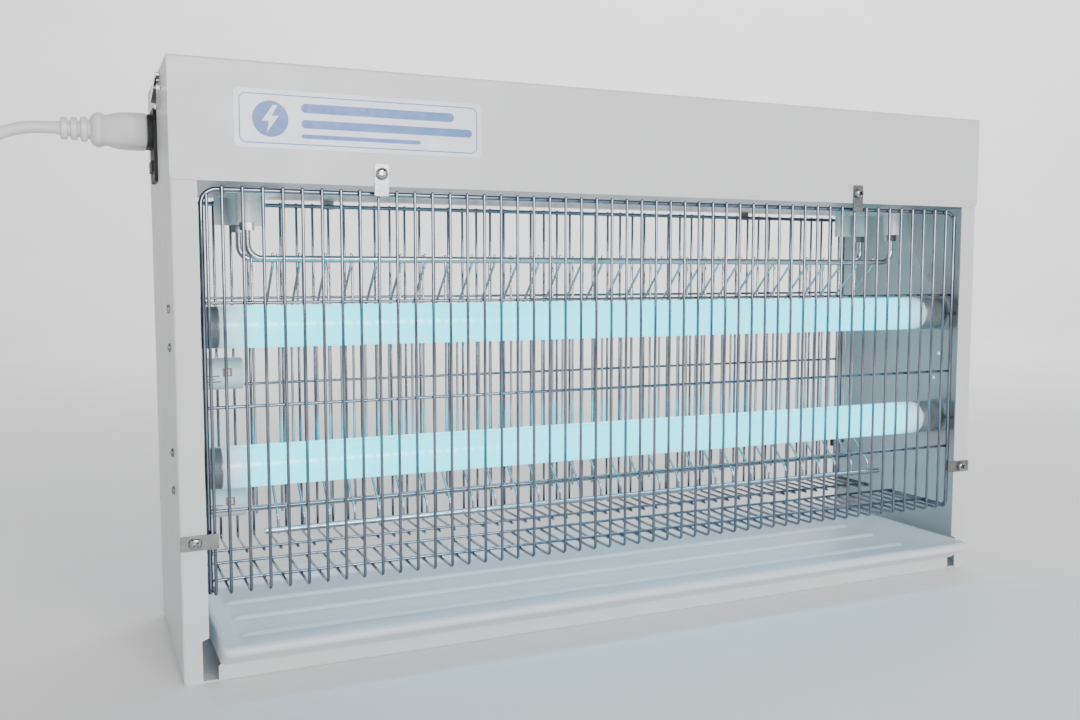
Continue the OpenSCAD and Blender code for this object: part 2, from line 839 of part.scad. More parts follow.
// ---------------------------------------------------------------- catch tray

// A solid with a rectangular base and a larger rectangular top, each given as [x, y] corners
module hopper(base_low, base_high, base_z, top_low, top_high, top_z) {
    function ring(low, high, z) =
        [[low.x, low.y, z], [high.x, low.y, z], [high.x, high.y, z], [low.x, high.y, z]];
    polyhedron(
        points = concat(ring(base_low, base_high, base_z), ring(top_low, top_high, top_z)),
        faces = [[0, 1, 2, 3], [7, 6, 5, 4], [4, 5, 1, 0], [5, 6, 2, 1], [6, 7, 3, 2], [7, 4, 0, 3]]
    );
}

module catch_tray() {
    nose = [-tray_nose_y + nose_r, tray_rim_z - nose_r];
    rim_x = tray_w / 2 - tray_rim;
    floor_x = rim_x - tray_draft;
    rear_y = tray_rear_y - tray_wall;
    slope = tray_draft / (tray_rim_z - tray_floor_z);
    front_slope = (tray_nose_y - tray_lip + front_floor_y) / (tray_rim_z - tray_floor_z);
    cut_z = tray_rim_z + 1;
    color("white") {
        difference() {
            along_x(-tray_w / 2, tray_w / 2)
                polygon(concat(
                    [[tray_rear_y, tray_rim_z], [tray_rear_y, tray_bottom_z], front_foot, nose_back],
                    arc(nose, nose_r, 270 - nose_slope, 90, 10)
                ));
            hopper([-floor_x, front_floor_y], [floor_x, rear_y], tray_floor_z,
                   [-rim_x - slope, -tray_nose_y + tray_lip - front_slope], [rim_x + slope, rear_y], cut_z);
        }
        for (y = rib_ys)
            block([-floor_x - 0.5, y - rib_w / 2, tray_floor_z - 0.5],
                  [floor_x + 0.5, y + rib_w / 2, tray_floor_z + rib_h]);
    }
}

// ---------------------------------------------------------------- left-hand hardware

module blades(from, to, grow = 0) {
    for (spot = blade_spots)
        block([from, inlet_y + spot.x - blade.y / 2 - grow, socket_z + spot.y - blade.x / 2 - grow],
              [to, inlet_y + spot.x + blade.y / 2 + grow, socket_z + spot.y + blade.x / 2 + grow]);
}

module power_inlet() {
    color("black")
        difference() {
            union() {
                along_x(-side_x - flange_t, -side_x)
                    polygon(rounded([inlet_y - 16, drawer_z - 10], [inlet_y + 16, socket_z + 14], 3));
                block([-side_x, inlet_y - 13.9, drawer_z - 7.9], [-side_x + inlet_h, inlet_y + 13.9, socket_z + 11.9]);
            }
            along_x(-side_x - flange_t - 1, -side_x + 18)
                polygon(rounded([inlet_y - 12.3, socket_z - 8.3], [inlet_y + 12.3, socket_z + 8.3], 3));
            block([-side_x - flange_t - 1, inlet_y - 11.2, drawer_z - 4.7],
                  [-side_x + 19, inlet_y + 11.2, drawer_z + 4.7]);
            blades(-side_x, -side_x + inlet_h + 1);
        }
}

module inlet_pins() {
    color("silver") blades(-side_x + 2, -side_x + inlet_h + 6);
}

module fuse_drawer() {
    color("dimgray")
        difference() {
            union() {
                block([-side_x - 2, inlet_y - 11, drawer_z - 4.5], [-side_x + 18.5, inlet_y + 11, drawer_z + 4.5]);
                block([-side_x - 3.5, inlet_y - 10, drawer_z - 3.5], [-side_x - 1.5, inlet_y + 10, drawer_z + 3.5]);
            }
            block([-side_x + 6, inlet_y - 10.2, drawer_z - 2.5], [-side_x + 12, inlet_y + 10.2, drawer_z + 6]);
        }
}

module fuse() {
    color("lightcyan") y_rod(inlet_y - 10, inlet_y + 10, -side_x + 9, drawer_z, 5);
}

module switch_bezel() {
    color("silver")
        difference() {
            union() {
                x_rod(-side_x - 2.5, -side_x, switch_y, switch_z, 22);
                x_rod(-side_x - 1, -side_x + 12, switch_y, switch_z, 19.8);
            }
            x_rod(-side_x - 4, -side_x + 10, switch_y, switch_z, 17.6);
            y_rod(switch_y - 12, switch_y + 12, switch_x, switch_z, trunnion_bore_d);
        }
}

module switch_rocker() {
    color("black")
        translate([switch_x, switch_y, switch_z]) rotate([0, rocker_tilt, 0]) {
            x_rod(-4.5, 2, 0, 0, 2 * rocker_r);
            y_rod(-9.5, 9.5, 0, 0, trunnion_d);
        }
}

// ---------------------------------------------------------------- electrics in the hood

// Laminated core with two windows round the middle limb
module transformer_core() {
    color("slategray")
        difference() {
            translate([transformer_x - core_w / 2, -core_d / 2, shelf_top_z]) cube([core_w, core_d, core_h]);
            for (x = [-core_w / 2 + core_limb, core_limb])
                translate([transformer_x + x, -core_d, shelf_top_z + core_limb])
                    cube([core_w / 2 - 2 * core_limb, 2 * core_d, core_h - 2 * core_limb]);
        }
}

// Winding round the middle limb, through both windows
module transformer_coil() {
    fit = 0.2;
    half_w = core_w / 2 - core_limb - fit;
    half_d = core_d / 2 + core_limb;
    color("darkgoldenrod")
        translate([transformer_x, 0, shelf_top_z + core_limb + fit])
            linear_extrude(core_h - 2 * core_limb - 2 * fit)
                difference() {
                    polygon(rounded([-half_w, -half_d], [half_w, half_d], 4));
                    square([2 * core_limb + 2 * fit, core_d + 2 * fit], center = true);
                }
}

// Choke of one lamp: a box on a longer foot plate
module ballast(x) {
    color("gray") {
        translate([x - 58, -18, shelf_top_z]) cube([116, 36, 2]);
        translate([x - 48, -18, shelf_top_z + 1]) cube([96, 36, 26]);
    }
}
module ballast_left() {
    ballast(ballast_left_x);
}
module ballast_right() {
    ballast(ballast_right_x);
}

module terminal_block() {
    top_z = shelf_top_z + 18;
    color("whitesmoke")
        difference() {
            block([-226, -12, shelf_top_z], [-164, 12, top_z]);
            for (k = [0:4]) for (y = [-6, 6])
                z_rod(top_z - 8, top_z + 1, -218 + 11.5 * k, y, 5);
        }
}

module wiring() {
    color("lightgray") {
        for (route = leads)
            tube(smooth(route), lead_d, 8);
        for (route = lamp_leads)
            tube(smooth(route), sleeve_d, 8);
    }
}

// ---------------------------------------------------------------- mains lead

// Moulded connector in the inlet, with its ribbed strain relief
module mains_connector() {
    body_x = -342;
    color("white")
        difference() {
            union() {
                along_x(-side_x - 5.5, -side_x + 17)
                    polygon(rounded([inlet_y - 11.9, socket_z - 7.9], [inlet_y + 11.9, socket_z + 7.9], 3));
                along_x(body_x, -side_x - 5)
                    polygon(rounded([inlet_y - 14, socket_z - 10], [inlet_y + 14, socket_z + 10], 5));
                translate([body_x + 1, inlet_y, socket_z]) rotate([0, -90, 0])
                    rotate_extrude()
                        polygon([[0, 0], [8, 0], [8, 2.5], [8.6, 3], [8.6, 8], [7.6, 8.5], [6.4, 11.5],
                                 [6.4, 13], [7, 13.5], [7, 15.5], [5.6, 19], [5.4, 21], [5.9, 21.6],
                                 [5.7, 23.4], [4.8, 26], [0, 26]]);
            }
            blades(-side_x, -side_x + 18, 0.3);
        }
}

module cord_tube() {
    color("white") {
        tube(smooth(fall_route), cord_d);
        tube(smooth(tail_route), cord_d);
    }
}

// Outer shape of the coiled cord
module cord_coil() {
    color("white")
        translate([coil_x, coil_y, 0])
            rotate_extrude()
                polygon(rounded([coil_inner_r - cord_d / 2, 0],
                                [coil_outer_r + cord_d / 2, coil_layers * cord_d], 3));
}

// Strap round the coil
module cord_tie() {
    strap_w = 8;
    strap_t = 1;
    inner = coil_inner_r - cord_d / 2;
    outer = coil_outer_r + cord_d / 2;
    top = coil_layers * cord_d;
    color("dimgray")
        translate([coil_x, coil_y, 0])
            difference() {
                block([-strap_w / 2, inner - strap_t, 0], [strap_w / 2, outer + strap_t, top + strap_t]);
                block([-strap_w, inner, strap_t], [strap_w, outer, top]);
            }
}

module mains_plug() {
    end = tail_route[len(tail_route) - 1];
    color("white")
        translate(end) rotate([90, 0, 0])
            rotate_extrude()
                polygon(concat(
                    [[0, 0], [5, 0], [8, plug_relief_h], [13, plug_relief_h + 4]],
                    arc([plug_d / 2 - 3, plug_relief_h + 13], 3, 90 + 60, 0),
                    [[plug_d / 2, plug_relief_h + plug_body_h - 1],
                     [plug_d / 2 - 1, plug_relief_h + plug_body_h], [0, plug_relief_h + plug_body_h]]
                ));
}

module plug_pins() {
    end = tail_route[len(tail_route) - 1];
    face = end.y - plug_relief_h - plug_body_h;
    color("silver")
        for (side = [-1, 1])
            y_rod(face - plug_pin_h, face, end.x + side * plug_pin_offset, end.z, plug_pin_d);
}

// ---------------------------------------------------------------- nodes

side_panel_left();
side_panel_right();
base_pan();
hood_shelf();
hood_cover();
hood_screws();
label_plate();
front_guard_frame();
front_guard_wires();
front_guard_floor();
rear_guard_frame();
rear_guard_wires();
rear_guard_floor();
guard_clip_front_top_left();
guard_clip_front_top_right();
guard_clip_front_left();
guard_clip_front_right();
guard_clip_rear_top_left();
guard_clip_rear_top_right();
guard_clip_rear_left();
guard_clip_rear_right();
clip_screws();
grid_insulators();
grid_nuts();
upper_grid_rods();
lower_grid_rods();
rear_grid_wires();
front_grid_wires();
tube_upper_glass();
tube_upper_caps();
tube_upper_rotors();
tube_lower_glass();
tube_lower_caps();
tube_lower_rotors();
lampholders_left();
lampholders_right();
lampholder_screws();
starter_upper();
starter_lower();
starter_holders();
catch_tray();
power_inlet();
inlet_pins();
fuse_drawer();
fuse();
switch_bezel();
switch_rocker();
transformer_core();
transformer_coil();
ballast_left();
ballast_right();
terminal_block();
wiring();
grommets();
mains_connector();
cord_tube();
cord_coil();
cord_tie();
mains_plug();
plug_pins();
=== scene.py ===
"""Electric insect killer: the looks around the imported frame. Metres, -Y is the front, +Z is up."""

import json
import math

import bpy
from mathutils import Euler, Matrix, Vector


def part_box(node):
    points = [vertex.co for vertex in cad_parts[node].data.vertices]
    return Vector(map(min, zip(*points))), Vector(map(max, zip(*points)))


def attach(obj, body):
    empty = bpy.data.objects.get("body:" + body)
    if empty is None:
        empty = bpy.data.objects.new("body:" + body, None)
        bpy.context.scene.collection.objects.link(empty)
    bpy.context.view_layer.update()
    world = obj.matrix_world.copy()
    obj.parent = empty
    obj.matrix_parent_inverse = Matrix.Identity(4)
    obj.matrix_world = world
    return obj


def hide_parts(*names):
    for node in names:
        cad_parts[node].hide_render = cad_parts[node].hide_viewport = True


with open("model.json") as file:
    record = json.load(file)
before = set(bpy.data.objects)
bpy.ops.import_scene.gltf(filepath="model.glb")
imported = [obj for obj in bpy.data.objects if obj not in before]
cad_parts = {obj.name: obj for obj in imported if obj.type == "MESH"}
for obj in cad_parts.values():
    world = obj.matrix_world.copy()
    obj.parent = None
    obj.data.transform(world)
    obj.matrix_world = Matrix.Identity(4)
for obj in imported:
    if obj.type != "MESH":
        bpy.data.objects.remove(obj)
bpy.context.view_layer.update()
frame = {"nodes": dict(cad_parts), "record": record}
node = frame["nodes"]
MM = 0.001
SHARP_ANGLE = 42

# ---------------------------------------------------------------- camera

camera = bpy.data.objects.new("camera", bpy.data.cameras.new("camera"))
bpy.context.scene.collection.objects.link(camera)
bpy.context.scene.camera = camera
camera.data.sensor_width = 36
camera.data.lens = 34.66
camera.data.clip_start = 0.01
camera.location = (-0.3641, -0.7028, 0.2429)
heading, pitch, roll = math.radians(-24.33), math.radians(-4.70), math.radians(-0.01)
camera.rotation_euler = (
    Euler((math.pi / 2 + pitch, 0, heading), "XYZ").to_matrix()
    @ Euler((0, 0, roll)).to_matrix()
).to_euler()

# ---------------------------------------------------------------- mesh helpers


def piece_from(name, verts, faces, material, body="housing", smooth=True):
    """A mesh object that rides on a body."""
    mesh = bpy.data.meshes.new(name)
    mesh.from_pydata([tuple(v) for v in verts], [], faces)
    mesh.validate()
    mesh.update()
    mesh.materials.append(material)
    obj = bpy.data.objects.new(name, mesh)
    bpy.context.scene.collection.objects.link(obj)
    if smooth:
        mesh.shade_smooth()
        mesh.set_sharp_from_angle(angle=math.radians(SHARP_ANGLE))
    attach(obj, body)
    return obj


def basis(axis):
    """Three directions at right angles, the first along the axis."""
    along = Vector(axis).normalized()
    side = along.cross(Vector((0, 0, 1)) if abs(along.z) < 0.9 else Vector((0, 1, 0))).normalized()
    return along, side, along.cross(side)


def in_metres(points):
    return [Vector(p) * MM for p in points]


def scaled(profile):
    """A profile of (distance, radius) pairs, from millimetres to metres."""
    return [(a * MM, r * MM) for a, r in profile]


def filleted(points, radii, steps=6):
    """A path with its corners rounded."""
    points = [Vector(p) for p in points]
    out = [points[0]]
    for i in range(1, len(points) - 1):
        back = (points[i - 1] - points[i]).normalized()
        on = (points[i + 1] - points[i]).normalized()
        half = back.angle(on) / 2
        r = radii[i - 1]
        start, end = points[i] + back * r / math.tan(half), points[i] + on * r / math.tan(half)
        centre = points[i] + (back + on).normalized() * r / math.sin(half)
        a, b = start - centre, end - centre
        turn = a.angle(b)
        for k in range(steps + 1):
            t = k / steps
            out.append(centre + (a * math.sin((1 - t) * turn) + b * math.sin(t * turn)) / math.sin(turn))
    return out + [points[-1]]


def round_box(x0, z0, x1, z1, r, steps=6):
    """Outline of a rectangle with round corners."""
    out = []
    corners = ((x0 + r, z0 + r, 180), (x1 - r, z0 + r, 270), (x1 - r, z1 - r, 0), (x0 + r, z1 - r, 90))
    for cx, cz, start in corners:
        for k in range(steps + 1):
            a = math.radians(start + 90 * k / steps)
            out.append((cx + r * math.cos(a), cz + r * math.sin(a)))
    return out


class Shape:
    """Collects vertices and faces of several solids for one mesh."""

    def __init__(self):
        self.verts, self.faces = [], []

    def add(self, verts, faces):
        start = len(self.verts)
        self.verts += [Vector(v) for v in verts]
        self.faces += [tuple(start + i for i in f) for f in faces]

    def rings(self, rings):
        """Skin over rings that have the same number of points, closed at both ends."""
        n = len(rings[0])
        faces = [
            (i * n + k, i * n + (k + 1) % n, (i + 1) * n + (k + 1) % n, (i + 1) * n + k)
            for i in range(len(rings) - 1)
            for k in range(n)
        ]
        last = (len(rings) - 1) * n
        faces.append(tuple(range(n - 1, -1, -1)))
        faces.append(tuple(last + k for k in range(n)))
        self.add([p for ring in rings for p in ring], faces)

    def sweep(self, path, radius, sides=12, round_ends=False):
        """A round rod along a path, with parallel-carried rings."""
        path = [Vector(p) for p in path]
        directions = [
            (path[min(i + 1, len(path) - 1)] - path[max(i - 1, 0)]).normalized()
            for i in range(len(path))
        ]
        first = directions[0]
        normal = first.cross(Vector((0, 0, 1)) if abs(first.z) < 0.9 else Vector((0, 1, 0)))
        stations = []
        if round_ends:
            for a in (80, 50, 20):
                a = math.radians(a)
                stations.append((path[0] - first * radius * math.sin(a), first, radius * math.cos(a)))
        stations += [(p, d, radius) for p, d in zip(path, directions)]
        if round_ends:
            for a in (20, 50, 80):
                a = math.radians(a)
                end = directions[-1]
                stations.append((path[-1] + end * radius * math.sin(a), end, radius * math.cos(a)))
        rings = []
        for place, d, r in stations:
            normal = (normal - d * normal.dot(d)).normalized()
            across = d.cross(normal)
            rings.append(
                [
                    place + r * (math.cos(2 * math.pi * k / sides) * normal
                                 + math.sin(2 * math.pi * k / sides) * across)
                    for k in range(sides)
                ]
            )
        self.rings(rings)

    def turned(self, profile, origin, axis, sides=32):
        """A solid turned about an axis, from (distance along it, radius) pairs."""
        along, side, up = basis(axis)
        self.rings(
            [
                [
                    Vector(origin) + along * a + r * (
                        math.cos(2 * math.pi * k / sides) * side
                        + math.sin(2 * math.pi * k / sides) * up
                    )
                    for k in range(sides)
                ]
                for a, r in profile
            ]
        )

    def plate(self, outline, front, back):
        """An outline in the XZ plane with a thickness along Y."""
        self.rings([[(x, y, z) for x, z in outline] for y in (front, back)])

    def frame(self, outer, inner, front, back):
        """The strip between two outlines in the XZ plane, with a thickness along Y."""
        n = len(outer)
        loops = [(outer, front), (inner, front), (inner, back), (outer, back)]
        verts = [(x, y, z) for outline, y in loops for x, z in outline]
        self.add(
            verts,
            [
                (a * n + k, a * n + (k + 1) % n, b * n + (k + 1) % n, b * n + k)
                for a, b in ((0, 1), (1, 2), (2, 3), (3, 0))
                for k in range(n)
            ],
        )


def bevel(obj, width, segments=2, angle=30):
    """Rounds the edges that are sharper than the angle."""
    modifier = obj.modifiers.new("edges", "BEVEL")
    modifier.width = width
    modifier.segments = segments
    modifier.limit_method = "ANGLE"
    modifier.angle_limit = math.radians(angle)
    modifier.harden_normals = False


# ---------------------------------------------------------------- materials

RELIEF_DEPTH = 0.0002
SUBSURFACE_DEPTH = 0.004


def nodes_of(name):
    material = bpy.data.materials.new(name)
    material.use_nodes = True
    tree = material.node_tree
    return material, tree, tree.nodes["Principled BSDF"]


def noise(tree, scale, detail, stretch=(1, 1, 1)):
    """Noise in the object's own metres."""
    place = tree.nodes.new("ShaderNodeTexCoord")
    mapping = tree.nodes.new("ShaderNodeMapping")
    mapping.inputs["Scale"].default_value = stretch
    tree.links.new(place.outputs["Object"], mapping.inputs["Vector"])
    texture = tree.nodes.new("ShaderNodeTexNoise")
    texture.inputs["Scale"].default_value = scale
    texture.inputs["Detail"].default_value = detail
    tree.links.new(mapping.outputs["Vector"], texture.inputs["Vector"])
    return texture.outputs["Fac"]


def spread(tree, value, low, high, start=0.3, end=0.7):
    """A value from a noise, mapped to low..high."""
    ramp = tree.nodes.new("ShaderNodeMapRange")
    ramp.inputs["From Min"].default_value = start
    ramp.inputs["From Max"].default_value = end
    ramp.inputs["To Min"].default_value = low
    ramp.inputs["To Max"].default_value = high
    tree.links.new(value, ramp.inputs["Value"])
    return ramp.outputs["Result"]


def tint(tree, value, low, high):
    """A colour between low and high."""
    mix = tree.nodes.new("ShaderNodeMix")
    mix.data_type = "RGBA"
    mix.inputs["A"].default_value = (*low, 1)
    mix.inputs["B"].default_value = (*high, 1)
    tree.links.new(value, mix.inputs["Factor"])
    return mix.outputs["Result"]


def bump(tree, shader, value, strength):
    relief = tree.nodes.new("ShaderNodeBump")
    relief.inputs["Strength"].default_value = strength
    relief.inputs["Distance"].default_value = RELIEF_DEPTH
    tree.links.new(value, relief.inputs["Height"])
    tree.links.new(relief.outputs["Normal"], shader.inputs["Normal"])


def surface(name, low, high, rough, metal=0.0, patch=12, grain=900, relief=0.05, stretch=(1, 1, 1),
            coat=0.0, subsurface=0.0):
    """A finished surface: patchy colour, uneven gloss and a fine relief."""
    material, tree, shader = nodes_of(name)
    patches = noise(tree, patch, 4)
    tree.links.new(tint(tree, spread(tree, patches, 0, 1), low, high), shader.inputs["Base Color"])
    gloss = noise(tree, patch * 6, 3, stretch)
    tree.links.new(spread(tree, gloss, rough[0], rough[1]), shader.inputs["Roughness"])
    shader.inputs["Base Color"].default_value = (*[(a + b) / 2 for a, b in zip(low, high)], 1)
    shader.inputs["Roughness"].default_value = sum(rough) / 2
    shader.inputs["Metallic"].default_value = metal
    shader.inputs["Coat Weight"].default_value = coat
    if subsurface:
        shader.inputs["Subsurface Weight"].default_value = subsurface
        shader.inputs["Subsurface Scale"].default_value = SUBSURFACE_DEPTH
    bump(tree, shader, noise(tree, grain, 2, stretch), relief)
    return material


def lit_glass(name, half_length):
    """A lit lamp: bright along its length, frosted and dimmer over the last stretch at each end."""
    material, tree, shader = nodes_of(name)
    place = tree.nodes.new("ShaderNodeTexCoord")
    split = tree.nodes.new("ShaderNodeSeparateXYZ")
    tree.links.new(place.outputs["Object"], split.inputs["Vector"])
    shifted = tree.nodes.new("ShaderNodeMath")
    shifted.operation = "ADD"
    tree.links.new(split.outputs["X"], shifted.inputs[0])
    shifted.inputs[1].default_value = GLOW_SHIFT
    distance = tree.nodes.new("ShaderNodeMath")
    distance.operation = "ABSOLUTE"
    tree.links.new(shifted.outputs["Value"], distance.inputs[0])
    glow = spread(tree, distance.outputs["Value"], 1.0, 0.0, half_length - FADE_START, half_length - FADE_END)
    cloud = noise(tree, 9, 2)
    tree.links.new(tint(tree, glow, FROSTED_COLOUR, LIT_COLOUR), shader.inputs["Base Color"])
    shader.inputs["Base Color"].default_value = (*LIT_COLOUR, 1)
    tree.links.new(tint(tree, glow, FROSTED_GLOW, LIT_GLOW), shader.inputs["Emission Color"])
    shader.inputs["Emission Color"].default_value = (*LIT_GLOW, 1)
    power = tree.nodes.new("ShaderNodeMath")
    power.operation = "MULTIPLY_ADD"
    tree.links.new(glow, power.inputs[0])
    tree.links.new(spread(tree, cloud, LAMP_POWER * 0.97, LAMP_POWER * 1.03), power.inputs[1])
    power.inputs[2].default_value = FROSTED_POWER
    tree.links.new(power.outputs["Value"], shader.inputs["Emission Strength"])
    shader.inputs["Emission Strength"].default_value = LAMP_POWER
    shader.inputs["Roughness"].default_value = 0.2
    shader.inputs["Coat Weight"].default_value = 0.3
    bump(tree, shader, noise(tree, 300, 2), 0.02)
    return material


# The lamp's light fades from FADE_START to FADE_END, measured back from the ends of a length whose middle is
# GLOW_SHIFT to the left, because the right end has the longer frosted stretch.
LAMP_POWER = 3.1
GLOW_SHIFT = 0.0065
FADE_START, FADE_END = 0.0275, 0.0065
LIT_COLOUR, LIT_GLOW = (0.04, 0.22, 0.26), (0.05, 0.74, 0.90)
FROSTED_COLOUR, FROSTED_GLOW = (0.62, 0.68, 0.72), (0.42, 0.62, 0.74)
FROSTED_POWER = 0.42
powder_coat = surface("powder_coat", (0.60, 0.60, 0.61), (0.64, 0.64, 0.65), (0.36, 0.48),
                      patch=7, grain=1400, relief=0.12, coat=0.05)
tray_plastic = surface("tray_plastic", (0.64, 0.65, 0.67), (0.68, 0.69, 0.71), (0.34, 0.42), patch=9,
                       grain=500, relief=0.02)
# The guard wires' chrome has its base colour painted dark: a painted reflection of dark surroundings, so the
# wires read dark with bright highlights
painted_shade_chrome = surface("painted_shade_chrome", (0.15, 0.17, 0.21), (0.23, 0.25, 0.30), (0.05, 0.14), metal=1, patch=60,
                 grain=2200, relief=0.04)
bright_chrome = surface("bright_chrome", (0.62, 0.63, 0.65), (0.74, 0.75, 0.77), (0.06, 0.16), metal=1,
                        patch=60, grain=2200, relief=0.04)
drawn_steel = surface("drawn_steel", (0.36, 0.37, 0.40), (0.50, 0.51, 0.54), (0.10, 0.24), metal=1,
                      patch=50, grain=2600, relief=0.05)
stamped_steel = surface("stamped_steel", (0.20, 0.20, 0.20), (0.28, 0.28, 0.28), (0.22, 0.34), metal=1,
                        patch=80, grain=900, relief=0.015, stretch=(1, 1, 4))
screw_steel = surface("screw_steel", (0.28, 0.28, 0.29), (0.40, 0.40, 0.41), (0.08, 0.18), metal=1,
                      patch=120, grain=3000, relief=0.05)
galvanised = surface("galvanised", (0.42, 0.44, 0.46), (0.56, 0.58, 0.60), (0.30, 0.50), metal=1,
                     patch=55, grain=700, relief=0.08)
label_film = surface("label_film", (0.66, 0.70, 0.80), (0.69, 0.73, 0.83), (0.22, 0.32), patch=20,
                     grain=600, relief=0.02)
print_blue = surface("print_blue", (0.045, 0.13, 0.42), (0.06, 0.16, 0.47), (0.28, 0.4), patch=60,
                     grain=900, relief=0.02)
print_white = surface("print_white", (0.74, 0.76, 0.80), (0.80, 0.82, 0.86), (0.28, 0.4), patch=60,
                      grain=900, relief=0.02)
print_red = surface("print_red", (0.42, 0.10, 0.08), (0.50, 0.14, 0.11), (0.35, 0.5), patch=60,
                    grain=900, relief=0.03)
print_grey = surface("print_grey", (0.09, 0.085, 0.085), (0.14, 0.13, 0.13), (0.35, 0.5), patch=60,
                     grain=900, relief=0.03)
insulator_plastic = surface("insulator_plastic", (0.70, 0.67, 0.67), (0.78, 0.75, 0.75), (0.18, 0.30),
                            patch=40, grain=900, relief=0.08, subsurface=0.1)
cap_metal = surface("cap_metal", (0.20, 0.23, 0.25), (0.28, 0.31, 0.33), (0.26, 0.38), metal=0.5,
                    patch=90, grain=1800, relief=0.08, stretch=(8, 1, 1))
holder_plastic = surface("holder_plastic", (0.42, 0.45, 0.46), (0.50, 0.53, 0.54), (0.30, 0.44), patch=40,
                         grain=1200, relief=0.06, subsurface=0.1)
white_plastic = surface("white_plastic", (0.70, 0.70, 0.69), (0.76, 0.76, 0.75), (0.28, 0.42), patch=40,
                        grain=1200, relief=0.06, subsurface=0.05)
starter_plastic = surface("starter_plastic", (0.70, 0.70, 0.69), (0.76, 0.76, 0.75), (0.35, 0.5),
                          patch=60, grain=1200, relief=0.08)
black_plastic = surface("black_plastic", (0.010, 0.010, 0.011), (0.018, 0.018, 0.019), (0.55, 0.7),
                        patch=60, grain=1500, relief=0.2)
gloss_black = surface("gloss_black", (0.012, 0.012, 0.012), (0.018, 0.018, 0.018), (0.12, 0.22), patch=60,
                      grain=800, relief=0.03, coat=0.5)
brass = surface("brass", (0.62, 0.56, 0.42), (0.72, 0.66, 0.52), (0.16, 0.3), metal=1, patch=90,
                grain=1500, relief=0.06)
fuse_glass = surface("fuse_glass", (0.70, 0.78, 0.80), (0.78, 0.84, 0.86), (0.05, 0.12), patch=60,
                     grain=900, relief=0.02)
core_steel = surface("core_steel", (0.055, 0.058, 0.065), (0.10, 0.105, 0.11), (0.4, 0.6), patch=40,
                     grain=1400, relief=0.4, stretch=(1, 60, 1))
coil_tape = surface("coil_tape", (0.52, 0.34, 0.06), (0.62, 0.42, 0.10), (0.3, 0.45), patch=40,
                    grain=500, relief=0.25, stretch=(1, 1, 20))
ballast_paint = surface("ballast_paint", (0.42, 0.45, 0.46), (0.50, 0.53, 0.54), (0.3, 0.5), patch=25,
                        grain=900, relief=0.1)
lead_pvc = surface("lead_pvc", (0.50, 0.52, 0.52), (0.58, 0.60, 0.60), (0.38, 0.5), patch=60,
                   grain=900, relief=0.08)
rubber = surface("rubber", (0.02, 0.02, 0.02), (0.035, 0.035, 0.035), (0.5, 0.7), patch=60, grain=1200,
                 relief=0.2)
cord_pvc = surface("cord_pvc", (0.68, 0.68, 0.68), (0.75, 0.75, 0.75), (0.30, 0.42), patch=50,
                   grain=1000, relief=0.06, subsurface=0.04)
strap_fabric = surface("strap_fabric", (0.02, 0.02, 0.022), (0.05, 0.05, 0.052), (0.75, 0.95), patch=90,
                       grain=1600, relief=0.6)
lamp_glow = lit_glass("lamp_glow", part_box("tube_upper_glass")[1][0])

SLOT_LOOKS = {
    "painted_steel": powder_coat, "galvanised": galvanised, "label_film": label_film,
    "chrome_wire": painted_shade_chrome, "screw_steel": screw_steel, "clip_steel": stamped_steel,
    "grid_steel": drawn_steel, "insulator": insulator_plastic, "lamp_glass": lamp_glow,
    "lamp_cap": cap_metal, "holder_plastic": holder_plastic, "starter_plastic": starter_plastic,
    "tray_plastic": tray_plastic, "inlet_plastic": black_plastic, "contact_brass": brass,
    "drawer_plastic": black_plastic, "fuse_glass": fuse_glass, "bezel_chrome": bright_chrome,
    "rocker_plastic": gloss_black, "core_steel": core_steel, "coil_tape": coil_tape,
    "ballast_steel": ballast_paint, "terminal_plastic": white_plastic, "lead_pvc": lead_pvc,
    "grommet_rubber": rubber, "cord_pvc": cord_pvc, "connector_pvc": cord_pvc,
    "tie_fabric": strap_fabric,
}
for part in frame["record"]["subparts"]:
    cad_mesh = node[part["node"]].data
    cad_mesh.materials.clear()
    cad_mesh.materials.append(SLOT_LOOKS[part["material_slot"]])

# Widths of the rounded edges of the CAD pieces, in millimetres
EDGES = {
    "side_panel_left": 0.35, "side_panel_right": 0.35, "base_pan": 0.35, "hood_cover": 0.3, "hood_shelf": 0.3,
    "grid_insulators": 0.7, "lampholders_left": 0.8, "lampholders_right": 0.8,
    "starter_holders": 0.8, "power_inlet": 0.5, "fuse_drawer": 0.5, "switch_bezel": 0.6, "switch_rocker": 0.6,
    "grid_nuts": 0.4, "lower_grid_rods": 0.7, "upper_grid_rods": 0.4, "cord_tie": 0.35,
    "transformer_core": 0.5, "transformer_coil": 1.0, "ballast_left": 0.8, "ballast_right": 0.8,
    "terminal_block": 0.5, "label_plate": 0.1, "grommets": 0.4, "tube_upper_rotors": 0.3,
    "tube_lower_rotors": 0.3, "plug_pins": 0.6, "inlet_pins": 0.2,
}
EDGES.update({name: 0.25 for name in node if name.startswith("guard_clip")})
for name, width in EDGES.items():
    bevel(node[name], width * MM, 3)


# ---------------------------------------------------------------- guards and grid

# millimetres; the frame rod, the wires welded to it, and the two outermost wires by the rod's corners
WIRE_R, ROD_R = 1.0, 1.5
GUARD_Y, GUARD_X, GUARD_TOP, GUARD_FOOT = 66.5, 292.7, 292.6, 52.2
WIRE_Y, WIRE_TOP, FLOOR_Z = 69.02, 294.0, 51.7
OUTER_X, OUTER_TOP = 289.8, 289.0
WIRE_COUNT = 49
WIRE_PITCH = 562 / 48
CROSS_Z = (226.2, 164.2, 102.2)
CROSS_Y = 67.0
CROSS_X = 291.15


def nugget(shape, place, size):
    """A squashed drop of weld metal."""
    shape.rings(
        [
            [
                Vector((place[0] + size[0] * math.cos(b) * math.cos(a),
                        place[1] + size[1] * math.cos(b) * math.sin(a),
                        place[2] + size[2] * math.sin(b))) * MM
                for a in (2 * math.pi * k / 8 for k in range(8))
            ]
            for b in (math.radians(v) for v in (-80, -40, 0, 40, 80))
        ]
    )


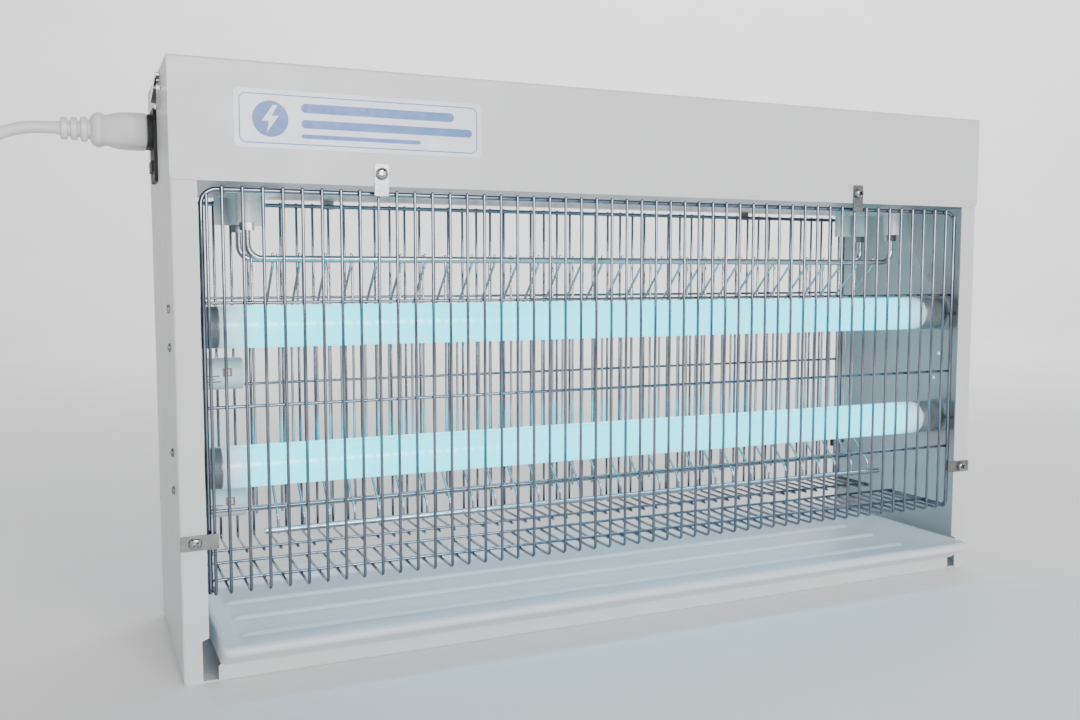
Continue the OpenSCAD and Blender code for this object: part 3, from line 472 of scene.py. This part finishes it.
def guard(name, side, floor_end, bars):
    """Frame rod, uprights bent back into the floor, cross wires and floor bars."""
    frame_rod = Shape()
    rod = [(-GUARD_X, side * floor_end, GUARD_FOOT), (-GUARD_X, side * GUARD_Y, GUARD_FOOT),
           (-GUARD_X, side * GUARD_Y, GUARD_TOP), (GUARD_X, side * GUARD_Y, GUARD_TOP),
           (GUARD_X, side * GUARD_Y, GUARD_FOOT), (GUARD_X, side * floor_end, GUARD_FOOT)]
    frame_rod.sweep(in_metres(filleted(rod, (4.5, 9, 9, 4.5), 8)), ROD_R * MM, 16, True)
    made = piece_from(name + "_rod", frame_rod.verts, frame_rod.faces, painted_shade_chrome)
    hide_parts(name + "_frame")
    wires = Shape()
    uprights = [(k - (WIRE_COUNT - 1) / 2) * WIRE_PITCH for k in range(WIRE_COUNT)]
    tops = [(x, WIRE_TOP) for x in uprights] + [(-OUTER_X, OUTER_TOP), (OUTER_X, OUTER_TOP)]
    for x, top in tops:
        path = [(x, side * floor_end, FLOOR_Z), (x, side * WIRE_Y, FLOOR_Z), (x, side * WIRE_Y, top)]
        wires.sweep(in_metres(filleted(path, (3,), 5)), WIRE_R * MM, 10, True)
    for y, z in [(CROSS_Y, z) for z in CROSS_Z] + [(y, FLOOR_Z + 2.02) for y in bars]:
        wires.sweep(in_metres([(-CROSS_X, side * y, z), (CROSS_X, side * y, z)]), WIRE_R * MM, 10, True)
    for x in uprights:
        nugget(wires, (x, side * (WIRE_Y - 1.0), GUARD_TOP), (1.35, 0.9, 1.1))
        for z in CROSS_Z:
            nugget(wires, (x, side * (WIRE_Y - 1.0), z), (1.2, 0.8, 1.1))
        for y in bars:
            nugget(wires, (x, side * y, FLOOR_Z + 1.0), (1.2, 1.1, 0.8))
    made = piece_from(name + "_bars", wires.verts, wires.faces, painted_shade_chrome)
    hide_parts(name + "_wires", name + "_floor")


guard("front_guard", -1, 3, (44.5, 5))
guard("rear_guard", 1, 25, (27,))

GRID_R, GRID_PITCH = 0.9, 16.9
REAR_ROW_Y, FRONT_ROW_Y = 5.08, -26.08
GRID_TOP = 256
grid = Shape()
for k in range(31):
    x = (k - 15) * GRID_PITCH
    grid.sweep(in_metres([(x, REAR_ROW_Y, 83), (x, REAR_ROW_Y, GRID_TOP)]), GRID_R * MM, 10, True)
for k in range(30):
    x = (k - 14.5) * GRID_PITCH
    path = [(x, FRONT_ROW_Y, 75.5), (x, FRONT_ROW_Y, 86), (x, REAR_ROW_Y, 117), (x, REAR_ROW_Y, 219),
            (x, FRONT_ROW_Y, 250), (x, FRONT_ROW_Y, GRID_TOP)]
    grid.sweep(in_metres(filleted(path, (6, 9, 9, 6), 5)), GRID_R * MM, 10, True)
grid_wires = piece_from("grid_wires", grid.verts, grid.faces, drawn_steel)
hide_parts("front_grid_wires", "rear_grid_wires")

# ---------------------------------------------------------------- catch tray


def pan_ring(z, half, front, rear, r):
    """A rectangle with round corners seen from above."""
    return [(x * MM, y * MM, z * MM) for x, y in round_box(-half, front, half, rear, r, 5)]


# the middle (Y, Z) and radius of the rounded rim, the tray's half width, its inner floor, and its ribs
NOSE, NOSE_R = (-93.6, 24.1), 3.4
TRAY_HALF = 290
TRAY_FLOOR = 14.55
RIB_YS = (-38.5, -4, 30.5)
tray = Shape()
loops = [pan_ring(12.6, 286.5, -79.0, 68.5, 2), pan_ring(12.56, 288.6, -80.0, 69.4, 3),
         pan_ring(13.4, 289.8, -80.9, 70, 3.5), pan_ring(17.6, TRAY_HALF, -85.4, 70, 3.5),
         pan_ring(18.5, TRAY_HALF, -87.0, 70, 3.5)]
for k in range(11):
    a = math.radians(252 - 162 * k / 10)
    inset = 0.8 * max(0, k - 7) / 3
    loops.append(pan_ring(NOSE[1] + NOSE_R * math.sin(a), TRAY_HALF - inset, NOSE[0] + NOSE_R * math.cos(a),
                          70 - inset, 5.5))
loops += [pan_ring(27.5, 287.2, -91.4, 68.9, 4.5), pan_ring(27.3, 285.9, -90.2, 68.3, 4),
          pan_ring(26.6, 285.0, -89.2, 68.0, 4), pan_ring(22, 281.0, -84.5, 67.8, 4),
          pan_ring(17.0, 276.2, -79.4, 67.6, 4), pan_ring(15.4, 274.4, -77.6, 67.0, 4),
          pan_ring(14.7, 272.6, -75.8, 65.6, 4), pan_ring(TRAY_FLOOR, 270.4, -73.6, 63.6, 4),
          pan_ring(TRAY_FLOOR, 268.4, -71.6, 61.6, 4)]
tray.rings(loops)
RIB_PROFILE = [(-3.9, -0.3), (-3.2, 0.2), (-2.3, 1.6), (-1.2, 2.2), (1.2, 2.2), (2.3, 1.6), (3.2, 0.2),
               (3.9, -0.3)]
RIB_STATIONS = [(-273, 0.1), (-272, 0.6), (-269, 0.95), (-266, 1), (266, 1), (269, 0.95), (272, 0.6),
                (273, 0.1)]
for y in RIB_YS:
    rings = []
    for x, f in RIB_STATIONS:
        rings.append(in_metres([(x, y + w * (0.55 + 0.45 * f), TRAY_FLOOR + (h * f if h > 0 else h))
                                for w, h in RIB_PROFILE]))
    tray.rings(rings)
tray_shell = piece_from("tray_shell", tray.verts, tray.faces, tray_plastic, "tray")
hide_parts("catch_tray")

# ---------------------------------------------------------------- screws

LAMP_ZS = {"upper": 211.0, "lower": 124.7}


def screw(shape, seat, axis, radius, height, shank, spin=0.5, sides=48):
    """A domed head with a cross recess on a threaded shank; the axis points out of the head."""
    out, u, v = basis(axis)
    seat = Vector(seat)
    rings = []
    steps = max(2, int(shank / 0.35))
    for i in range(steps + 1):
        r = 0.53 * radius if i % 2 else 0.45 * radius
        rings.append((-shank + shank * i / steps, r, 0))
    rings += [(height * up, radius * wide, 0) for up, wide in
              ((0, 0.96), (0.12, 1), (0.4, 1), (0.62, 0.95), (0.8, 0.84), (0.91, 0.70))]
    rings += [(height * (1 - 0.12 * f * f), f * radius, 0.6 * height)
              for f in (0.58, 0.53, 0.48, 0.40, 0.32, 0.25, 0.19, 0.14, 0.08)]
    loops = []
    for along, r, cut in rings:
        loop = []
        for k in range(sides):
            a = 2 * math.pi * k / sides
            p, q = abs(r * math.cos(a + spin)), abs(r * math.sin(a + spin))
            sunk = cut if min(p, q) < 0.13 * radius and max(p, q) < 0.55 * radius else 0
            loop.append((seat + out * (along - sunk) + u * r * math.cos(a) + v * r * math.sin(a)) * MM)
        loops.append(loop)
    shape.rings(loops)


def screws(name, spots, replaced):
    shape = Shape()
    for number, (seat, axis, radius, height, shank) in enumerate(spots):
        screw(shape, seat, axis, radius, height, shank, 0.35 + 0.9 * number)
    made = piece_from(name, shape.verts, shape.faces, screw_steel)
    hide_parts(replaced)


screws("clip_screw_set",
       [((x * 186.5, y * 74.1, 304.5), (0, y, 0), 3.75, 2.8, 3.1) for x in (-1, 1) for y in (-1, 1)]
       + [((x * 301.5, y * 73.1, 85.4), (0, y, 0), 3.75, 2.8, 2.1) for x in (-1, 1) for y in (-1, 1)],
       "clip_screws")
screws("hood_screw_set",
       [((x * 302, 73, z), (0, 1, 0), 3.75, 2.8, 2) for x in (-1, 1) for z in (305, 355)], "hood_screws")
screws("lampholder_screw_set",
       [((x * 310, -48, z + end * 11.5), (x, 0, 0), 2.75, 1.8, 6)
        for x in (-1, 1) for z in LAMP_ZS.values() for end in (-1, 1)], "lampholder_screws")

# ---------------------------------------------------------------- label

LABEL = (-274.0, 317.0, -120.5, 351.0)
LABEL_Y = -73.4
PRINT_T = 0.06


def label_piece(name, shape, material):
    made = piece_from(name, [v * MM for v in shape.verts], shape.faces, material, smooth=False)


blue = Shape()
x0, z0, x1, z1 = LABEL
blue.frame(round_box(x0 + 3, z0 + 2.6, x1 - 3, z1 - 2.6, 4),
           round_box(x0 + 3.6, z0 + 3.2, x1 - 3.6, z1 - 3.2, 3.4), LABEL_Y - PRINT_T, LABEL_Y)
DISC, DISC_R = (-253.0, 334.0), 10.5
blue.plate([(DISC[0] + DISC_R * math.cos(a), DISC[1] + DISC_R * math.sin(a))
            for a in (2 * math.pi * k / 48 for k in range(48))], LABEL_Y - PRINT_T, LABEL_Y)
BAR_X = -235
for low_z, high_z, length in ((338.5, 344, 96), (329.5, 334.5, 108), (323.5, 326, 74)):
    blue.plate(round_box(BAR_X, low_z, BAR_X + length, high_z, (high_z - low_z) / 2 - 0.05),
               LABEL_Y - PRINT_T, LABEL_Y)
label_piece("label_print", blue, print_blue)
bolt = Shape()
bolt.plate([(DISC[0] + x, DISC[1] + z) for x, z in
            ((1.5, 8), (-5, -1.2), (-0.8, -1.2), (-2.2, -8), (4.8, 1.8), (0.6, 1.8), (4.2, 8))],
           LABEL_Y - 2 * PRINT_T, LABEL_Y - PRINT_T)
label_piece("label_bolt", bolt, print_white)

# ---------------------------------------------------------------- lamps and starters

# caps and pins as (distance from the middle, radius); the right cap has a longer collar over the glass
LAMP_Y = -48
PIN_SPREAD = 6.35
CAP_PROFILE = [(284.2, 13.05), (284.5, 12.8), (292, 12.8), (293.6, 12.3), (294.6, 11.2), (295, 9.5),
               (295, 1.0)]
COLLARS = {-1: [(282.6, 12.6), (283, 13.05)],
           1: [(271.2, 12.7), (271.5, 13.1), (272.4, 13.3), (281.6, 13.3), (282.2, 13.05)]}
PIN_PROFILE = [(294, 1.175), (301.3, 1.175), (301.9, 0.9), (302.1, 0.4)]
for lamp, z in LAMP_ZS.items():
    shape = Shape()
    for end, collar in COLLARS.items():
        shape.turned(scaled(collar + CAP_PROFILE), (0, LAMP_Y * MM, z * MM), (end, 0, 0), 40)
        for pin in (-PIN_SPREAD, PIN_SPREAD):
            shape.turned(scaled(PIN_PROFILE), (0, LAMP_Y * MM, (z + pin) * MM), (end, 0, 0), 16)
    caps = piece_from(f"lamp_{lamp}_ends", shape.verts, shape.faces, cap_metal, f"lamp_{lamp}")
    bevel(caps, 0.1 * MM, 1, 60)
    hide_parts(f"tube_{lamp}_caps")

# printed bars on a starter: start and end along X, from and to in degrees around it (180 faces the front)
STARTER_Y = 12
RED_BARS = ((-274, -268, 156, 161), (-274, -268, 181, 186), (-274, -272.6, 161, 181),
            (-269.4, -268, 161, 181), (-271.7, -270.3, 164, 178))
GREY_BARS = ((-288, -276, 182, 186), (-288, -279, 193, 197), (-288, -275, 204, 208), (-288, -281, 215, 219))
PRINT_INSIDE, PRINT_OUTSIDE = 10.45, 10.56
CAN_PROFILE = [(-305.95, 3), (-305.95, 8.2), (-305.6, 8.5), (-300.2, 8.5), (-299.95, 9.9), (-299.4, 10.5),
               (-261.2, 10.5), (-260.5, 10.3), (-260.1, 9.9), (-260, 9.3), (-260, 6.6), (-260.7, 6.2),
               (-260.7, 1)]
for name, z in (("upper", 177.3), ("lower", 91.3)):
    can = Shape()
    can.turned(scaled(CAN_PROFILE), (0, STARTER_Y * MM, z * MM), (1, 0, 0), 40)
    made = piece_from(f"starter_{name}_can", can.verts, can.faces, starter_plastic, f"{name}_starter")
    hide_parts(f"starter_{name}")
    for part, look, bars in (("print", print_red, RED_BARS), ("marks", print_grey, GREY_BARS)):
        marks = Shape()
        for start, end, low_a, high_a in bars:
            rings = []
            for k in range(5):
                a = math.radians(low_a + (high_a - low_a) * k / 4)
                rings.append([(x * MM, (STARTER_Y + r * math.cos(a)) * MM, (z + r * math.sin(a)) * MM)
                              for x, r in ((start, PRINT_INSIDE), (end, PRINT_INSIDE),
                                           (end, PRINT_OUTSIDE), (start, PRINT_OUTSIDE))])
            marks.rings(rings)
        made = piece_from(f"starter_{name}_{part}", marks.verts, marks.faces, look, f"{name}_starter",
                          smooth=False)

# ---------------------------------------------------------------- connector and plug


def loft(sections, centre, sides=40):
    """Rounded sections along X: distance, half width, half height, squareness."""
    rings = []
    for x, wide, high, power in sections:
        ring = []
        for k in range(sides):
            a = 2 * math.pi * k / sides
            c, s = math.cos(a), math.sin(a)
            ring.append((x * MM, (centre[0] + math.copysign(abs(c) ** (2 / power), c) * wide) * MM,
                         (centre[1] + math.copysign(abs(s) ** (2 / power), s) * high) * MM))
        rings.append(ring)
    return rings


# (Y, Z) of the inlet's socket; the body starts at FLANGE_X, and its lengths behind that are scaled by
# RELIEF_STRETCH
SOCKET = (20, 334)
FLANGE_X = -315.5
NOSE_X = -293.2
HALF_W, HALF_H = 14.0, 11.2
RELIEF_STRETCH = 0.76
sections = [(NOSE_X, 11.2, 7.2, 5), (NOSE_X - 0.8, 11.8, 7.8, 5), (FLANGE_X + 0.3, 11.8, 7.8, 5)]
BODY_STATIONS = ((0, 0.93, 5), (0.6, 0.98, 5), (1.8, 1.0, 5), (14, 1.0, 5), (20, 0.98, 4.5), (25, 0.93, 4),
                 (28.5, 0.87, 3.6), (31, 0.835, 3.2), (33, 0.86, 3), (35, 0.93, 3), (37, 0.95, 3),
                 (39, 0.93, 3), (41, 0.86, 2.8), (42.6, 0.74, 2.5), (43.4, 0.60, 2.2))
for a, f, p in BODY_STATIONS:
    sections.append((FLANGE_X - a * RELIEF_STRETCH, HALF_W * (f if a < 20 else f ** 1.9), HALF_H * f, p))
RELIEF_RIBS = ((45, 7.7), (52.6, 7.1), (60, 6.9))
for start, r in RELIEF_RIBS:
    for a, cut in ((0, 2.3), (0.5, 0.6), (1.2, 0), (4.9, 0), (5.6, 0.6), (6.1, 2.3)):
        sections.append((FLANGE_X - (start + a) * RELIEF_STRETCH, r - cut, r - cut, 2))
sections += [(FLANGE_X - 51.0, 4.3, 4.3, 2), (FLANGE_X - 52.5, 3.9, 3.9, 2)]
connector = Shape()
connector.rings(loft(sections, SOCKET))
made = piece_from("mains_connector_body", connector.verts, connector.faces, cord_pvc)
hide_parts("mains_connector")

# the inlet's raised rim round the connector's nose, drawn as an outline in XZ and then laid in YZ
rim = Shape()
outer, inner = ([(y, z) for _, y, z in ring]
                for ring in loft([(0, 14.6, 10.6, 5), (0, 12.3, 8.3, 5)], SOCKET))
rim.frame(outer, inner, -315.1 * MM, -311.9 * MM)
made = piece_from("inlet_rim", [(y, x, z) for x, y, z in rim.verts], [face[::-1] for face in rim.faces],
                  black_plastic)
bevel(made, 0.4 * MM, 2, 60)

PLUG_X, PLUG_Z = -537, 19
plug = Shape()
profile = [(0, 4.1), (0.6, 5)]
for k in range(5):
    at = 1.5 + 5.2 * k
    r = 5.6 + 0.55 * k
    profile += [(at, r - 1.2), (at + 0.5, r), (at + 3.8, r), (at + 4.3, r - 1.0)]
profile += [(29, 7.6), (32, 11), (36, 14), (41, 17.2), (44.5, 18.6), (47, 19), (49, 18.5), (51, 18.5),
            (53, 19), (55, 18.5), (57, 18.5), (59, 19), (62.4, 19), (63.4, 18.6), (64, 17.6), (64, 1)]
plug.turned(scaled(profile), (PLUG_X * MM, 0, PLUG_Z * MM), (0, -1, 0), 48)
made = piece_from("plug_body", plug.verts, plug.faces, cord_pvc)
bevel(made, 0.1 * MM, 1, 60)
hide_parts("mains_plug")

# ---------------------------------------------------------------- mains cord

CORD_D = 7.5 * MM
FALL = [
    (-367, 20, 334), (-377, 20, 334), (-387, 20, 333), (-398, 20, 329.5), (-409, 20, 323),
    (-419, 20, 314), (-427, 20, 302), (-433, 20, 287), (-437, 20, 268), (-439, 20, 245),
    (-440, 20, 215), (-440, 20, 180), (-440, 20, 145), (-440, 20, 110), (-440, 20, 80),
    (-440, 20, 60), (-440, 20.5, 42), (-440, 26, 24), (-440, 39, 10.5), (-440, 56, 4.8),
    (-440, 74, 3.9), (-440, 90, 3.8),
]
TAIL = [(PLUG_X, 90, 18.8), (PLUG_X, 70, 18.8), (PLUG_X, 50, 18.9), (PLUG_X, 30, PLUG_Z),
        (PLUG_X, 15, PLUG_Z), (PLUG_X, 0, PLUG_Z)]
COIL_CENTRE = (-488.5, 90)
COIL_OUTER, COIL_INNER = 48.5, 41
COIL_TURNS = 4.5
FLOOR_LAYER = 3.8


def smooth_route(points, steps):
    """Catmull-Rom curve through the points."""
    points = [Vector(p) for p in points]
    out = []
    for i in range(len(points) - 1):
        a, b = points[max(i - 1, 0)], points[i]
        c, d = points[i + 1], points[min(i + 2, len(points) - 1)]
        for k in range(steps):
            t = k / steps
            out.append(0.5 * (2 * b + (c - a) * t + (2 * a - 5 * b + 4 * c - d) * t * t
                              + (3 * b - a - 3 * c + d) * t ** 3))
    return out + [points[-1]]


def eased(value, start, end):
    t = min(max((value - start) / (end - start), 0), 1)
    return t * t * (3 - 2 * t)


def coil_turns(per_turn=48):
    """Turns wound outside, inside, inside on top, outside on top, outside on the third layer."""
    gap = COIL_OUTER - COIL_INNER
    points = []
    for i in range(1, int(COIL_TURNS * per_turn)):
        a = 360 * i / per_turn
        r = COIL_OUTER - gap * eased(a, 255, 330) + gap * eased(a, 955, 1025)
        z = FLOOR_LAYER + CORD_D / MM * (eased(a, 590, 655) + eased(a, 1255, 1325))
        turn = math.radians(a)
        points.append(Vector((COIL_CENTRE[0] + r * math.cos(turn), COIL_CENTRE[1] + r * math.sin(turn), z)))
    return points


cord_path = [p * MM for p in smooth_route(FALL, 4) + coil_turns() + smooth_route(TAIL, 3)]
cord_shape = Shape()
cord_shape.sweep(cord_path, CORD_D / 2, 16)
mains_cord = piece_from("mains_cord", cord_shape.verts, cord_shape.faces, cord_pvc)
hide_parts("cord_tube", "cord_coil")

# ---------------------------------------------------------------- stage and light


def area_light(name, place, target, size, power, colour=(1, 1, 1)):
    lamp = bpy.data.lights.new(name, "AREA")
    lamp.shape = "RECTANGLE"
    lamp.size, lamp.size_y = size
    lamp.energy = power
    lamp.color = colour
    obj = bpy.data.objects.new(name, lamp)
    bpy.context.scene.collection.objects.link(obj)
    obj.location = place
    obj.rotation_euler = (Vector(target) - Vector(place)).to_track_quat("-Z", "Y").to_euler()


area_light("key_light", (0.15, -2.7, 0.85), (0, 0, 0.18), (1.5, 0.9), 66)
area_light("side_light", (-2.0, -0.7, 0.9), (0, 0, 0.15), (1.0, 0.8), 0.6)
area_light("top_light", (0.2, 0.8, 2.2), (0, 0, 0.3), (1.2, 0.8), 9)
area_light("backdrop_light", (1.2, 1.6, 3.0), (1.8, 4.6, 0.9), (3.0, 1.0), 170)
WALL_LIGHT_OUT, WALL_OUT = 1.5, 4.6
for side, (x, y, power) in {"left": (-1, 0, 26), "right": (1, 0, 60), "front": (0, -1, 60)}.items():
    area_light(side + "_wall_light", (WALL_LIGHT_OUT * x, WALL_LIGHT_OUT * y, 3.0),
               (WALL_OUT * x, WALL_OUT * y, 0.9), (3.0, 1.0), power)
area_light("lamp_glow_down", (0, -0.048, 0.108), (0, -0.048, 0), (0.54, 0.02), 0.15, (0.30, 0.66, 1.0))
world = bpy.data.worlds.new("studio")
bpy.context.scene.world = world
world.use_nodes = True
world.node_tree.nodes["Background"].inputs["Color"].default_value = (0.80, 0.85, 0.92, 1)
world.node_tree.nodes["Background"].inputs["Strength"].default_value = 0.17

floor_look = surface("floor_look", (0.86, 0.86, 0.86), (0.89, 0.89, 0.89), (0.55, 0.7), patch=3, grain=120,
                     relief=0.03)
# the floor is round and curves up into a wall: (radius, height) pairs about COVE_X
COVE = [(3.2, 0.0), (3.6, 0.0), (3.9, 0.03), (4.2, 0.13), (4.45, 0.30), (4.62, 0.55), (4.72, 0.85),
        (4.75, 1.2), (4.75, 3.4)]
COVE_SIDES = 72
COVE_X = 0.4
floor_verts = [
    (COVE_X + r * math.cos(2 * math.pi * k / COVE_SIDES), r * math.sin(2 * math.pi * k / COVE_SIDES), z)
    for r, z in COVE
    for k in range(COVE_SIDES)
]
floor_faces = [tuple(range(COVE_SIDES))]
floor_faces += [
    (i * COVE_SIDES + k, (i + 1) * COVE_SIDES + k,
     (i + 1) * COVE_SIDES + (k + 1) % COVE_SIDES, i * COVE_SIDES + (k + 1) % COVE_SIDES)
    for i in range(len(COVE) - 1)
    for k in range(COVE_SIDES)
]
floor_mesh = bpy.data.meshes.new("floor")
floor_mesh.from_pydata(floor_verts, [], floor_faces)
floor_mesh.shade_smooth()
floor_mesh.materials.append(floor_look)
floor = bpy.data.objects.new("floor", floor_mesh)
bpy.context.scene.collection.objects.link(floor)
